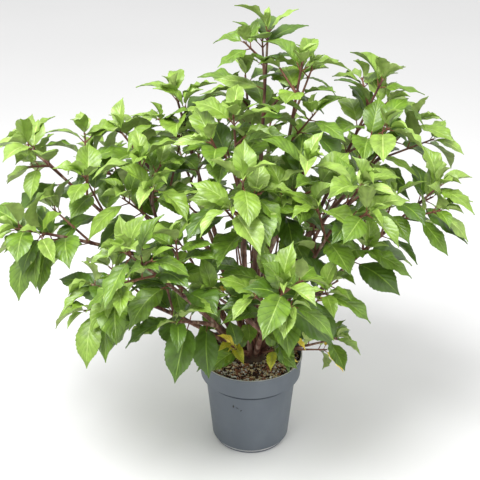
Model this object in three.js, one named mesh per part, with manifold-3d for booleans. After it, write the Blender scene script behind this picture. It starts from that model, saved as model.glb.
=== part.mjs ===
// A panicle hydrangea in its nursery pot: a leafy shrub about 1.1 m tall and 1.1 m across.
// Canes fan out of a short woody stock on the potting mix. Each cane or side bough ends where
// a leafy mass takes over: one stem with side shoots, opposite leaves and a rosette at each tip.
// Millimetres, +Z up, origin at the middle of the pot's flat underside, -Y the front.

import * as THREE from 'three';
import { mergeVertices } from 'three/addons/utils/BufferGeometryUtils.js';
import Module from 'manifold-3d';

const wasm = await Module();
wasm.setup();

// ---------------------------------------------------------------- driving dimensions

const POT = {
  height: 248, rim: 130, lip: 7, lipRise: 1.5, edge: 1, collar: 54, collarTop: 128.6,
  collarBottom: 126, wallTop: 114, foot: 98, footHeight: 14, base: 90, baseHeight: 6, wall: 2.6,
  floor: 4, segments: 30, drains: 8, drainRing: 68, drainRadius: 6, drainDepth: 8, drainSides: 6,
};
const MIX = { top: 232, dome: 3, flat: 42 };
const STOCK = { height: 34, flare: 36, middle: 33.5, waist: 31, shoulder: 30, segments: 12 };
const INNER_FEET = { ring: 9, firstBearing: 0 };
const OUTER_FEET = { ring: 22, firstBearing: 40 };
const FEET_ABOVE_MIX = 20;
const GAP = 0.35;                       // between neighbouring solids
const CLEAR = 0.8;                      // what a twig or leaf keeps to others, on each side
const TINY = 1e-6;
const MERGE = 1e-3;                     // points of one shape nearer than this are one point
const SIMPLER = 0.05;                   // how far a mass's surface may move as faces are joined

const CANE = { inner: 6.4, outer: 5.6, side: 4.6, tip: 1.9, sides: 5, steps: 3 };
const TWIG = { stem: 1.15, shootRoot: 2.5, shootTip: 1.5, sides: 3, stemSteps: 3, shootSteps: 1 };

// Where each leafy tip stands: bearing anticlockwise from +X, reach from the pot's axis, height
// over the floor. bow lifts the middle of the limb, leafy is the length that the mass takes.
const INNER_CANES = [
  { name: 'right_high', bearing: 8, reach: 295, height: 945, bow: 0.02, leafy: 250 },
  { name: 'top', bearing: 60, reach: 70, height: 1050, bow: 0.0, leafy: 250 },
  { name: 'left_high', bearing: 160, reach: 185, height: 905, bow: 0.02, leafy: 250 },
  { name: 'crest', bearing: 337, reach: 115, height: 1010, bow: 0.0, leafy: 250 },
];
const OUTER_CANES = [
  { name: 'back_right', bearing: 44, reach: 400, height: 665, bow: 0.05, leafy: 290 },
  { name: 'back', bearing: 82, reach: 385, height: 720, bow: 0.04, leafy: 280 },
  { name: 'back_left', bearing: 120, reach: 400, height: 690, bow: 0.05, leafy: 280 },
  { name: 'left_back', bearing: 152, reach: 450, height: 700, bow: 0.05, leafy: 250 },
  { name: 'left_far', bearing: 178, reach: 515, height: 795, bow: 0.04, leafy: 270 },
  { name: 'left_low', bearing: 211, reach: 410, height: 560, bow: 0.08, leafy: 280 },
  { name: 'front_left', bearing: 233, reach: 425, height: 705, bow: 0.05, leafy: 290 },
  { name: 'front_high', bearing: 251, reach: 125, height: 915, bow: 0.02, leafy: 260 },
  { name: 'front', bearing: 279, reach: 395, height: 655, bow: 0.06, leafy: 280 },
  { name: 'front_right', bearing: 313, reach: 325, height: 810, bow: 0.04, leafy: 280 },
  { name: 'right_far', bearing: 354, reach: 430, height: 725, bow: 0.04, leafy: 270 },
];
const SIDE_BOUGHS = [
  { name: 'back_crest', from: 'top', fork: 0.42, bearing: 95, reach: 165, height: 915 },
  { name: 'middle_right', from: 'crest', fork: 0.36, bearing: 302, reach: 215, height: 835 },
  { name: 'middle', from: 'front_high', fork: 0.36, bearing: 265, reach: 245, height: 820 },
  { name: 'left_upper', from: 'left_high', fork: 0.30, bearing: 164, reach: 320, height: 805 },
  { name: 'left_middle', from: 'left_far', fork: 0.34, bearing: 202, reach: 265, height: 805 },
  { name: 'left_front', from: 'left_far', fork: 0.44, bearing: 197, reach: 540, height: 670 },
  { name: 'front_low_left', from: 'front_left', fork: 0.28, bearing: 240, reach: 330, height: 510 },
  { name: 'front_middle', from: 'front', fork: 0.30, bearing: 246, reach: 235, height: 545 },
  { name: 'right_upper', from: 'right_high', fork: 0.42, bearing: 15, reach: 400, height: 825 },
  { name: 'right_low', from: 'right_far', fork: 0.36, bearing: 334, reach: 290, height: 605 },
  { name: 'front_low_right', from: 'front_right', fork: 0.30, bearing: 308, reach: 270, height: 540 },
];
const SIDE_BOW = 0.04;
const SIDE_LEAFY = 215;
const MOST_LEAFY = 0.62;                // of a limb's length

// Short shoots that leave the stock's side and hang their leaves over the pot's rim.
const BASAL_SHOOTS = [
  { name: 'foot_left', bearing: 222, reach: 115, height: 365 },
  { name: 'foot_front', bearing: 262, reach: 80, height: 400 },
  { name: 'foot_right', bearing: 322, reach: 110, height: 375 },
  { name: 'foot_back', bearing: 89, reach: 135, height: 375 },
  { name: 'low_right', bearing: 351, reach: 215, height: 310 },
];
const POT_ROOM = { beyond: 3, sides: 24 };
const BASAL = { start: 28, height: 250, radius: 3.4, bow: -0.06, scale: 0.76 };

// Leaf pairs from a tip down: how far back along the stem, leaf length with its stalk, and the
// angle that the leaf opens from the stem.
const ROSETTE = [
  { back: 3, size: 52, opening: 24 },
  { back: 10, size: 84, opening: 44 },
  { back: 24, size: 106, opening: 64 },
];
const SHOOT_ROSETTE = ROSETTE.slice(1);
const STEM_PAIRS = { first: 75, spacing: 60, size: 118, opening: 66, lastToLimb: 14 };
const SHOOT = {
  length: 125, longer: [0.75, 1.15], spread: 42, wider: [0.8, 1.25], out: 0.92, rise: 0.24,
  scale: 0.94, pairBack: 66, clearOfRoot: 0.15,
};
// A leaf starts proud of its stem's middle, and lies round a chord from there to its tip. Each
// try that finds no room turns the leaf further round the stem, and opens it further.
const LEAF = {
  width: 0.6, widest: 0.46, arch: 0.07, thick: 2.4, proud: 0.4, stalk: 0.38, faceStem: 0.5,
  faceOut: 0.35, longer: [0.88, 1.08], sag: 0.16, sagging: [0.2, 1.8], roll: 16, swing: 14,
};
const TRIES = { count: 3, turn: 0.5, open: 6 };

// ---------------------------------------------------------------- small helpers

const UP = new THREE.Vector3(0, 0, 1);
const radians = THREE.MathUtils.degToRad;
const mix = THREE.MathUtils.lerp;

/** A seeded stream of numbers from 0 to 1, so that the shrub grows the same way each time. */
function seeded(seed) {
  let state = seed >>> 0;
  return () => {
    state = (state + 0x6d2b79f5) >>> 0;
    let t = state;
    t = Math.imul(t ^ (t >>> 15), t | 1);
    t ^= t + Math.imul(t ^ (t >>> 7), t | 61);
    return ((t ^ (t >>> 14)) >>> 0) / 4294967296;
  };
}

/** A point given by its bearing in degrees, its distance from the axis and its height. */
function polar(bearing, reach, height) {
  return new THREE.Vector3(
    reach * Math.cos(radians(bearing)), reach * Math.sin(radians(bearing)), height,
  );
}

/** start + heading * distance */
function step(start, heading, distance) {
  return start.clone().addScaledVector(heading, distance);
}

/** The part of a vector that is square to a unit axis, at unit length. */
function squareTo(vector, axis) {
  return step(vector, axis, -vector.dot(axis)).normalize();
}

/** A limb's centre line: one quadratic curve in an upright plane. */
class Line {
  constructor(start, middle, end) {
    this.ends = [start, middle, end];
    this.length = start.distanceTo(middle) / 2 + middle.distanceTo(end) / 2
      + start.distanceTo(end) / 2;
    const flat = step(end, start, -1).setZ(0);
    const upright = flat.length() <= TINY;
    this.side = upright ? new THREE.Vector3(0, 1, 0) : flat.cross(UP).negate().normalize();
  }

  at(t) {
    const [a, b, c] = this.ends;
    return step(step(a.clone().multiplyScalar((1 - t) ** 2), b, 2 * t * (1 - t)), c, t * t);
  }

  heading(t) {
    const [a, b, c] = this.ends;
    const first = step(b, a, -1).multiplyScalar(1 - t);
    return step(first, step(c, b, -1), t).normalize();
  }
}

/** A line from start to end whose middle is lifted by bow times its span. */
function bowed(start, end, bow) {
  const middle = start.clone().lerp(end, 0.5);
  return new Line(start, step(middle, UP, bow * start.distanceTo(end)), end);
}

// ---------------------------------------------------------------- shapes and solids

/** A closed tapering tube round a line: points and faces. */
function tube(line, from, to, radiusAt, sides, steps, extra = 0) {
  const points = [];
  const faces = [];
  for (let i = 0; i <= steps; i += 1) {
    const t = mix(from, to, i / steps);
    const across = squareTo(line.side, line.heading(t));
    const over = new THREE.Vector3().crossVectors(line.heading(t), across);
    for (let k = 0; k < sides; k += 1) {
      const turn = (2 * Math.PI * k) / sides;
      const radius = radiusAt(t) + extra;
      points.push(step(step(line.at(t), across, radius * Math.cos(turn)),
        over, radius * Math.sin(turn)));
    }
  }
  for (let i = 0; i < steps; i += 1) {
    for (let k = 0; k < sides; k += 1) {
      const [a, b] = [i * sides + k, i * sides + ((k + 1) % sides)];
      faces.push([a, b, b + sides], [a, b + sides, a + sides]);
    }
  }
  for (let k = 1; k < sides - 1; k += 1) {
    const last = steps * sides;
    faces.push([0, k + 1, k], [last, last + k, last + k + 1]);
  }
  return { points, faces };
}

/** A leaf: a thin blade of 6 faces with a low ridge, from its root to its tip. */
function blade({ root, tip, middle, normal, across, size }, extra = 0) {
  const half = LEAF.width * size / 2 + extra;
  const chord = step(tip, root, -1).normalize();
  const under = step(middle, normal, -extra);
  return {
    points: [
      step(root, chord, LEAF.proud - extra), step(under, across, -half), step(under, across, half),
      step(middle, normal, LEAF.thick + extra), step(tip, chord, extra),
    ],
    faces: [[0, 3, 1], [1, 3, 4], [4, 3, 2], [2, 3, 0], [0, 1, 2], [4, 2, 1]],
  };
}

function solid({ points, faces }) {
  return new wasm.Manifold(new wasm.Mesh({
    numProp: 3,
    vertProperties: new Float32Array(points.flatMap((point) => point.toArray())),
    triVerts: new Uint32Array(faces.flat()),
  }));
}

/** A geometry of three.js as a solid; faces that merging closes to a line are dropped. */
function fromGeometry(geometry) {
  geometry.deleteAttribute('normal');
  geometry.deleteAttribute('uv');
  const merged = mergeVertices(geometry, MERGE);
  const place = merged.attributes.position;
  const points = Array.from({ length: place.count },
    (_, i) => new THREE.Vector3().fromBufferAttribute(place, i));
  const faces = [];
  for (let i = 0; i < merged.index.count; i += 3) {
    const face = [0, 1, 2].map((k) => merged.index.getX(i + k));
    if (new Set(face).size === 3) faces.push(face);
  }
  return solid({ points, faces });
}

/** A solid of revolution round the Z axis from its [radius, height] outline. */
function revolved(outline, segments) {
  const lathe = new THREE.LatheGeometry(outline.map(([r, z]) => new THREE.Vector2(r, z)), segments);
  return fromGeometry(lathe.rotateX(Math.PI / 2));
}

/** The largest body of a solid, as a geometry. */
function geometryOf(manifold) {
  const [largest] = manifold.decompose().sort((a, b) => b.volume() - a.volume());
  const { vertProperties, triVerts } = largest.getMesh();
  const geometry = new THREE.BufferGeometry();
  geometry.setAttribute('position', new THREE.BufferAttribute(vertProperties, 3));
  geometry.setIndex(new THREE.BufferAttribute(triVerts, 1));
  geometry.computeVertexNormals();
  return geometry;
}

// ---------------------------------------------------------------- room between shapes

const PARALLEL = 1e-9;

/** Whether the stretch from p to q passes through the triangle. */
function pierces(p, q, [a, b, c]) {
  const along = step(q, p, -1);
  const [ab, ac] = [step(b, a, -1), step(c, a, -1)];
  const h = new THREE.Vector3().crossVectors(along, ac);
  const det = ab.dot(h);
  if (Math.abs(det) < PARALLEL) return false;
  const ap = step(p, a, -1);
  const u = ap.dot(h) / det;
  const k = new THREE.Vector3().crossVectors(ap, ab);
  const v = along.dot(k) / det;
  const t = ac.dot(k) / det;
  return u >= 0 && v >= 0 && u + v <= 1 && t >= 0 && t <= 1;
}

const anyEdge = (face, other) => [0, 1, 2].some((k) => pierces(face[k], face[(k + 1) % 3], other));
const cross = (face, other) => anyEdge(face, other) || anyEdge(other, face);

/** Remembers the faces of what has grown, each with its owner's name. */
class Room {
  constructor() {
    this.taken = [];
  }

  static facesOf({ points, faces }, owner) {
    return faces.map((face) => {
      const corners = face.map((i) => points[i]);
      return { owner, corners, box: new THREE.Box3().setFromPoints(corners) };
    });
  }

  claim(shape, owner) {
    this.taken.push(...Room.facesOf(shape, owner));
  }

  /** Whether the shape keeps clear of all that is claimed, apart from the owners let through. */
  free(shape, letThrough = []) {
    const whole = new THREE.Box3().setFromPoints(shape.points);
    const own = Room.facesOf(shape);
    return !this.taken.some(({ owner, corners, box }) => !letThrough.includes(owner)
      && box.intersectsBox(whole)
      && own.some((face) => face.box.intersectsBox(box) && cross(face.corners, corners)));
  }
}

// ---------------------------------------------------------------- limbs

/** Each limb with its line, its radius along it, and where its leafy mass begins. */
function growLimbs() {
  const limbs = [];
  const add = (row, start, bow, rootRadius, parent) => {
    const line = bowed(start, polar(row.bearing, row.reach, row.height), bow);
    const leafy = Math.min(row.leafy ?? SIDE_LEAFY, MOST_LEAFY * line.length);
    limbs.push({
      name: row.name, line, parent,
      leaves: 1 - leafy / line.length,
      radiusAt: (t) => mix(rootRadius, CANE.tip, t),
    });
  };
  const rings = [
    { rows: INNER_CANES, feet: INNER_FEET, radius: CANE.inner },
    { rows: OUTER_CANES, feet: OUTER_FEET, radius: CANE.outer },
  ];
  for (const { rows, feet, radius } of rings) {
    rows.forEach((row, i) => {
      const bearing = feet.firstBearing + (360 * i) / rows.length;
      add(row, polar(bearing, feet.ring, MIX.top + FEET_ABOVE_MIX), row.bow, radius, null);
    });
  }
  for (const row of SIDE_BOUGHS) {
    const parent = limbs.find((limb) => limb.name === row.from);
    add(row, parent.line.at(row.fork), SIDE_BOW, CANE.side, parent);
  }
  return limbs;
}

/** The basal shoots have no cane of their own: the mass starts in the stock's side. */
function growBasal() {
  return BASAL_SHOOTS.map(({ name, bearing, reach, height }) => {
    const start = polar(bearing, BASAL.start, BASAL.height);
    const line = bowed(start, polar(bearing, reach, height), BASAL.bow);
    const radiusAt = (t) => mix(BASAL.radius, CANE.tip, t);
    return { name, line, parent: null, leaves: 0, scale: BASAL.scale, radiusAt };
  });
}

/** The room that the pot and its mix take up to the rim. */
function potRoom() {
  const line = new Line(polar(0, 0, -1), polar(0, 0, POT.height / 2), polar(0, 0, POT.height + 1));
  return tube(line, 0, 1, () => POT.rim + POT_ROOM.beyond, POT_ROOM.sides, 1);
}

function limbShape(limb, extra = 0) {
  return tube(limb.line, 0, limb.leaves, limb.radiusAt, CANE.sides, CANE.steps, extra);
}

function limbSolid(limb, stock) {
  const carrier = limb.parent ? solid(limbShape(limb.parent, GAP)) : stock;
  return solid(limbShape(limb)).subtract(carrier);
}

// ---------------------------------------------------------------- leafy masses

/** Two unit vectors square to a stem, turned round it by an angle. */
function pairSides(line, t, turn) {
  const across = squareTo(line.side, line.heading(t));
  const over = new THREE.Vector3().crossVectors(line.heading(t), across);
  const side = step(across.multiplyScalar(Math.cos(turn)), over, Math.sin(turn));
  return [side, side.clone().negate()];
}

/** Where a leaf lies: it opens from its stem, arches, and its tip sags. */
function leafAt(root, axis, side, size, opening, sag, roll) {
  const out = step(axis.clone().multiplyScalar(Math.cos(opening)), side, Math.sin(opening));
  const tip = step(step(root, out, size), UP, -sag * size);
  const chord = step(tip, root, -1).normalize();
  const facing = step(step(UP, axis, LEAF.faceStem), side, LEAF.faceOut);
  const normal = squareTo(facing, chord).applyAxisAngle(chord, roll);
  const across = new THREE.Vector3().crossVectors(chord, normal);
  const middle = step(root.clone().lerp(tip, LEAF.widest), normal, LEAF.arch * size);
  return { root, tip, middle, normal, across, size };
}

/** The leaf without its stalk, which is what must not meet its neighbours. */
function withoutStalk(leaf) {
  return { ...leaf, root: leaf.root.clone().lerp(leaf.middle, LEAF.stalk) };
}

/** A pair of leaves: each tries a few turns round its stem until it finds room. */
function growPair(mass, room, line, { back, size, opening }, turn, scale = 1) {
  const { random } = mass;
  const t = 1 - back / line.length;
  for (const [i, side] of pairSides(line, t, turn).entries()) {
    const length = size * scale * mass.scale * mix(...LEAF.longer, random());
    const sag = LEAF.sag * mix(...LEAF.sagging, random());
    const roll = radians(LEAF.roll) * mix(-1, 1, random());
    const swing = radians(LEAF.swing) * mix(-1, 1, random());
    for (let attempt = 0; attempt < TRIES.count; attempt += 1) {
      const swung = swing + attempt * (i ? TRIES.turn : -TRIES.turn);
      const out = side.clone().applyAxisAngle(line.heading(t), swung);
      const leaf = leafAt(line.at(t), line.heading(t), out, length,
        radians(opening + TRIES.open * attempt), sag, roll);
      const free = room.free(blade(leaf, CLEAR), [mass.name, mass.limb.name])
        && room.free(blade(withoutStalk(leaf), CLEAR));
      if (free) {
        mass.leaves.push(leaf);
        room.claim(blade(leaf, CLEAR), mass.name);
        break;
      }
    }
  }
}

/** The stem carries on from the limb's end to its tip. */
function startMass(limb, seed) {
  const from = limb.leaves + GAP / limb.line.length;
  const radiusAt = (t) => limb.radiusAt(t) * TWIG.stem;
  const stem = (extra) => tube(limb.line, from, 1, radiusAt, TWIG.sides, TWIG.stemSteps, extra);
  return {
    name: `leaves_${limb.name}`, limb, stem, shoots: [], leaves: [], scale: limb.scale ?? 1,
    random: seeded(seed),
  };
}

/** The distances back from the tip at which the stem carries leaf pairs and shoots. */
function stemNodes(mass) {
  const { limb } = mass;
  const reach = (1 - limb.leaves) * limb.line.length - STEM_PAIRS.lastToLimb;
  const nodes = [];
  for (let back = STEM_PAIRS.first; back < reach; back += STEM_PAIRS.spacing) nodes.push(back);
  return nodes.map((back, i) => ({ back, turn: i * Math.PI / 2 + mass.phase }));
}

/** Side shoots: one at each node below the first, on alternate sides, where there is room. */
function growShoots(mass, room) {
  mass.phase = mass.random() * Math.PI;
  const { line } = mass.limb;
  stemNodes(mass).slice(1).forEach(({ back, turn }, i) => {
    const t = 1 - back / line.length;
    const side = pairSides(line, t, turn + Math.PI / 2)[i % 2];
    const length = SHOOT.length * mix(...SHOOT.longer, mass.random());
    const spread = radians(SHOOT.spread * mix(...SHOOT.wider, mass.random()));
    const out = step(line.heading(t).multiplyScalar(Math.cos(spread)), side, Math.sin(spread));
    const root = line.at(t);
    const end = step(step(root, out, length * SHOOT.out), UP, length * SHOOT.rise);
    const shoot = bowed(root, end, 0);
    const radiusAt = (u) => mix(TWIG.shootRoot, TWIG.shootTip, u);
    const shape = (extra, from = 0) => tube(shoot, from, 1, radiusAt, TWIG.sides,
      TWIG.shootSteps, extra);
    if (room.free(shape(CLEAR), [mass.name]) && room.free(shape(CLEAR, SHOOT.clearOfRoot))) {
      mass.shoots.push({ line: shoot, shape });
      room.claim(shape(CLEAR), mass.name);
    }
  });
}

/** The leaf pairs from a tip down, each turned a quarter from the last. */
function growRosette(mass, room, line, pairs, scale) {
  const first = mass.random() * Math.PI;
  pairs.forEach((pair, i) => growPair(mass, room, line, pair, first + i * Math.PI / 2, scale));
  return first;
}

function growLeaves(mass, room) {
  const { line } = mass.limb;
  const { opening } = STEM_PAIRS;
  growRosette(mass, room, line, ROSETTE, 1);
  for (const shoot of mass.shoots) {
    const first = growRosette(mass, room, shoot.line, SHOOT_ROSETTE, SHOOT.scale);
    const lower = { back: SHOOT.pairBack, size: ROSETTE.at(-1).size, opening };
    growPair(mass, room, shoot.line, lower, first + Math.PI / 2, SHOOT.scale);
  }
  for (const { back, turn } of stemNodes(mass)) {
    growPair(mass, room, line, { back, size: STEM_PAIRS.size, opening }, turn);
  }
}

function growMasses(limbs) {
  const room = new Room();
  const masses = [...limbs, ...growBasal()].map((limb, i) => startMass(limb, i + 1));
  limbs.forEach((limb) => room.claim(limbShape(limb, CLEAR), limb.name));
  masses.forEach((mass) => room.claim(mass.stem(CLEAR), mass.name));
  room.claim(potRoom(), 'pot');
  masses.forEach((mass) => growShoots(mass, room));
  masses.forEach((mass) => growLeaves(mass, room));
  return masses;
}

function massSolid(mass) {
  return wasm.Manifold.union([
    solid(mass.stem(0)),
    ...mass.shoots.map((shoot) => solid(shoot.shape(0))),
    ...mass.leaves.map((leaf) => solid(blade(leaf))),
  ]).subtract(stockCutter).simplify(SIMPLER);
}

// ---------------------------------------------------------------- pot, mix and stock

/** The pot's inner outline from the floor up, shrunk by a gap for what fills it. */
function innerOutline(gap) {
  const { wall, floor, base, foot, footHeight, wallTop, height, collar, collarBottom } = POT;
  const ledge = height - collar;
  return [
    [0, floor + gap], [base - wall - gap, floor + gap], [foot - wall - gap, footHeight],
    [wallTop - wall - gap, ledge + gap], [collarBottom - wall - gap, ledge + wall + gap],
  ];
}

function potSolid() {
  const { height, rim, lip, lipRise, edge, collar, collarTop, collarBottom, wallTop } = POT;
  const { foot, footHeight, base, baseHeight, wall, segments, drains } = POT;
  const outline = [
    [0, 0], [base, 0], [base, baseHeight], [foot, footHeight], [wallTop, height - collar],
    [collarBottom, height - collar], [collarTop, height - lip], [rim, height - lip + lipRise],
    [rim, height - edge], [rim - edge, height], [rim - wall, height],
    ...innerOutline(0).reverse(),
  ];
  let pot = revolved(outline, segments);
  for (let i = 0; i < drains; i += 1) pot = pot.subtract(drainSolid((360 * (i + 0.5)) / drains));
  return pot;
}

/** What a drain hole takes out of the floor. */
function drainSolid(bearing) {
  const { drainRing, drainRadius, drainDepth, drainSides } = POT;
  const drain = new THREE.CylinderGeometry(drainRadius, drainRadius, 2 * drainDepth, drainSides);
  const centre = polar(bearing, drainRing, 0);
  return fromGeometry(drain.rotateX(Math.PI / 2).translate(centre.x, centre.y, 0));
}

function mixSolid() {
  const { height, collar, collarTop, collarBottom, wall } = POT;
  const share = (MIX.top - height + collar) / collar;
  const radius = mix(collarBottom, collarTop, share) - wall - GAP;
  return revolved([...innerOutline(GAP), [radius, MIX.top - MIX.dome], [MIX.flat, MIX.top],
    [0, MIX.top]], POT.segments);
}

/** The short woody stock: flared where it stands on the mix, cut flat below. */
function stockSolid(extra = 0) {
  const { height, flare, middle, waist, shoulder, segments } = STOCK;
  const foot = MIX.top + GAP;
  const top = foot + height + extra;
  return revolved([
    [0, foot - extra], [flare + extra, foot - extra], [middle + extra, foot + height / 4],
    [waist + extra, foot + height / 2], [shoulder + extra, top], [0, top],
  ], segments);
}

// ---------------------------------------------------------------- the shrub

const MATERIALS = {
  pot: new THREE.MeshStandardMaterial({ color: 0x69717a, roughness: 0.55, flatShading: true }),
  mix: new THREE.MeshStandardMaterial({ color: 0x4f3a28, roughness: 0.95, flatShading: true }),
  wood: new THREE.MeshStandardMaterial({ color: 0x5b3a34, roughness: 0.75, flatShading: true }),
  leaf: new THREE.MeshStandardMaterial({ color: 0x6fa53a, roughness: 0.5, flatShading: true }),
};

const shrub = new THREE.Group();

function addNode(name, manifold, material) {
  const node = new THREE.Mesh(geometryOf(manifold), material);
  node.name = name;
  shrub.add(node);
}

const limbs = growLimbs();
const stockCutter = stockSolid(GAP);

addNode('pot', potSolid(), MATERIALS.pot);
addNode('potting_mix', mixSolid(), MATERIALS.mix);
addNode('stock', stockSolid(), MATERIALS.wood);
for (const limb of limbs) addNode(`cane_${limb.name}`, limbSolid(limb, stockCutter), MATERIALS.wood);
for (const mass of growMasses(limbs)) addNode(mass.name, massSolid(mass), MATERIALS.leaf);

export default shrub;
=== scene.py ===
"""The looks of a potted panicle hydrangea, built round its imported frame.

The growth rule is the one that the solids follow, written again in millimetres: it grows the
same canes, shoots and leaves, and then carries on to buds, spurs and the inner leaves. Meshes
are made from its lines in metres, in the frame's own axes.
"""

import math

import bpy
import numpy as np
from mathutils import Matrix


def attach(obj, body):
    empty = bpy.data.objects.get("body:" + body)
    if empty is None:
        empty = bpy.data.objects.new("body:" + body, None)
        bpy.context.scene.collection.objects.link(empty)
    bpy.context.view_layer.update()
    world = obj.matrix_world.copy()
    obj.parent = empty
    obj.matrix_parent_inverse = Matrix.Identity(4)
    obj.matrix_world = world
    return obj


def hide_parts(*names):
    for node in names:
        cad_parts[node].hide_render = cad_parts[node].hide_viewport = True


MM = 0.001

# ---------------------------------------------------------------- driving sizes, millimetres

POT = {
    "height": 248, "rim": 130, "lip": 7, "collar": 54, "collar_top": 128.6,
    "collar_bottom": 126, "wall_top": 114, "foot": 98, "foot_height": 14, "base": 90,
    "base_height": 6, "wall": 2.6, "floor": 4, "drains": 8, "drain_ring": 68, "drain_radius": 6,
}
MIX = {"top": 232, "dome": 3, "flat": 42}
STOCK = {"height": 34, "flare": 36, "waist": 31}
FOOT_RINGS = {"inner": 9, "outer": 22, "sunk": 20}
GAP = 0.35
CLEAR = 0.8

CANE = {"inner": 6.4, "outer": 5.6, "side": 4.6, "tip": 1.9, "sides": 5, "steps": 3}
TWIG = {"stem": 1.15, "root": 2.5, "tip": 1.5, "sides": 3, "stem_steps": 3, "steps": 1}

# name, bearing anticlockwise from +X, reach from the pot's axis, height, bow, leafy length
INNER_CANES = [
    ("right_high", 8, 295, 945, 0.02, 250),
    ("top", 60, 70, 1050, 0.0, 250),
    ("left_high", 160, 185, 905, 0.02, 250),
    ("crest", 337, 115, 1010, 0.0, 250),
]
OUTER_CANES = [
    ("back_right", 44, 400, 665, 0.05, 290),
    ("back", 82, 385, 720, 0.04, 280),
    ("back_left", 120, 400, 690, 0.05, 280),
    ("left_back", 152, 450, 700, 0.05, 250),
    ("left_far", 178, 515, 795, 0.04, 270),
    ("left_low", 211, 410, 560, 0.08, 280),
    ("front_left", 233, 425, 705, 0.05, 290),
    ("front_high", 251, 125, 915, 0.02, 260),
    ("front", 279, 395, 655, 0.06, 280),
    ("front_right", 313, 325, 810, 0.04, 280),
    ("right_far", 354, 430, 725, 0.04, 270),
]
# name, cane that it forks from, where on that cane, bearing, reach, height
SIDE_BOUGHS = [
    ("back_crest", "top", 0.42, 95, 165, 915),
    ("middle_right", "crest", 0.36, 302, 215, 835),
    ("middle", "front_high", 0.36, 265, 245, 820),
    ("left_upper", "left_high", 0.30, 164, 320, 805),
    ("left_middle", "left_far", 0.34, 202, 265, 805),
    ("left_front", "left_far", 0.44, 197, 540, 670),
    ("front_low_left", "front_left", 0.28, 240, 330, 510),
    ("front_middle", "front", 0.30, 246, 235, 545),
    ("right_upper", "right_high", 0.42, 15, 400, 825),
    ("right_low", "right_far", 0.36, 334, 290, 605),
    ("front_low_right", "front_right", 0.30, 308, 270, 540),
]
SIDE_BOW = 0.04
SIDE_LEAFY = 215
MOST_LEAFY = 0.62
# name, bearing, reach, height
BASAL_SHOOTS = [
    ("foot_left", 222, 115, 365),
    ("foot_front", 262, 80, 400),
    ("foot_right", 322, 110, 375),
    ("foot_back", 89, 135, 375),
    ("low_right", 351, 215, 310),
]
BASAL = {"start": 28, "height": 250, "radius": 3.4, "bow": -0.06, "scale": 0.76}
POT_ROOM = {"beyond": 3, "sides": 24}

# distance back from the tip, leaf length with its stalk, opening angle, age of the pair
ROSETTE = [(3, 52, 24, 0), (10, 84, 44, 1), (24, 106, 64, 2)]
SHOOT_ROSETTE = ROSETTE[1:]
STEM_PAIRS = {"first": 75, "spacing": 60, "size": 118, "opening": 66, "end": 14, "age": 3}
SHOOT = {
    "length": 125, "longer": (0.75, 1.15), "spread": 42, "wider": (0.8, 1.25), "out": 0.92,
    "rise": 0.24, "scale": 0.94, "pair_back": 66, "clear_of_root": 0.15,
}
LEAF = {
    "width": 0.6, "widest": 0.46, "arch": 0.07, "thick": 2.4, "proud": 0.4, "sag": 0.16,
    "roll": 16, "tries": 3, "longer": (0.88, 1.08), "sagging": (0.2, 1.8), "swing": 14,
    "try_turn": 0.5, "try_open": 6, "stalk": 0.38,
}

# ---------------------------------------------------------------- what only the looks have

BUD = (2, 30, 15, 0)
SHOOT_BUD = (3, 50, 24, 0)
EDGE = {"wide": 3.4, "deep": 4}         # the pot's rolled edge
RECESS = {"high": 13, "deep": 5}        # of the wall right under the collar
BEAD = {"low": 4, "high": 8, "proud": 1.6}
SPUR = {"length": 62, "spread": 58, "scale": 0.8}
CANE_LEAVES = {"first": 30, "spacing": 52, "lowest": 330, "size": 100, "opening": 72, "share": 0.18}
INNER = {
    "tries": 16, "fan": (-45, 45), "reach": (50, 190), "height": (430, 640), "bow": 0.03,
    "clear_of_foot": 0.12, "steps": 2, "scale": 0.55,
}
EXTRA_SEED = 500
ROOM_SIZE = 90000

STALK = 0.15                            # share of a leaf's length that is its stalk
STALK_RADIUS = (1.7, 1.05)
BLADE = {
    "longer": 1.12, "width": 0.55, "swell": 0.88, "round": 0.8, "point": (0.7, 0.97),
    "pointed": 0.55, "sweep": 1.5, "bend": 0.9, "least": 0.014, "arch": 0.12, "quilt": 0.014,
    "groove": 0.009, "under": 0.012, "rib": 0.006, "wave": 0.038, "tooth_out": 0.04,
    "tooth_in": 0.03,
}
SLIM = (0.52, 0.8, 0.95, 1, 1)          # by a leaf's age: the young are narrow and folded
FOLD = (36, 12, 0, 0, 0)                # degrees more
VEINS = {"count": 7, "first": 0.03, "last": 0.7, "half": 0.008, "between": (0.46, 0.62)}
COLUMNS = (-1, -0.7, -0.35, -0.045, 0.045, 0.35, 0.7, 1)
UNDER_COLUMNS = (-0.5, 0, 0.5)
LEAVES_IN_PIECE = 300

BARK_THICKER = 1.25                     # than the wood of the solids
PAINTED_BARK_HIGHLIGHT = (158, 136, 120)                  # pale patches on the red bark, dealt by noise: a painted highlight

# Small leaves near the foot turn yellow; far above or below the palest height tints are deeper, and below
# it that is painted shade of the lower crown.
FOOT = {"top": 430, "reach": 190, "size": 72, "share": 0.55}
PALEST = {"height": 760, "falls": 400, "deeper": 1.6}

# sRGB, 0 to 255
GREENS = [
    ("leaf_fresh", (153, 180, 88)),
    ("leaf_light", (140, 169, 74)),
    ("leaf_mid", (124, 155, 53)),
    ("leaf_deep", (102, 135, 35)),
    ("leaf_old", (75, 107, 22)),
]
TURNED = [("leaf_turning", (188, 186, 60)), ("leaf_yellow", (250, 216, 84))]
VEIN = ("leaf_vein", (184, 206, 116))
UNDERSIDE = ("leaf_underside", (149, 171, 90))
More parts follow.
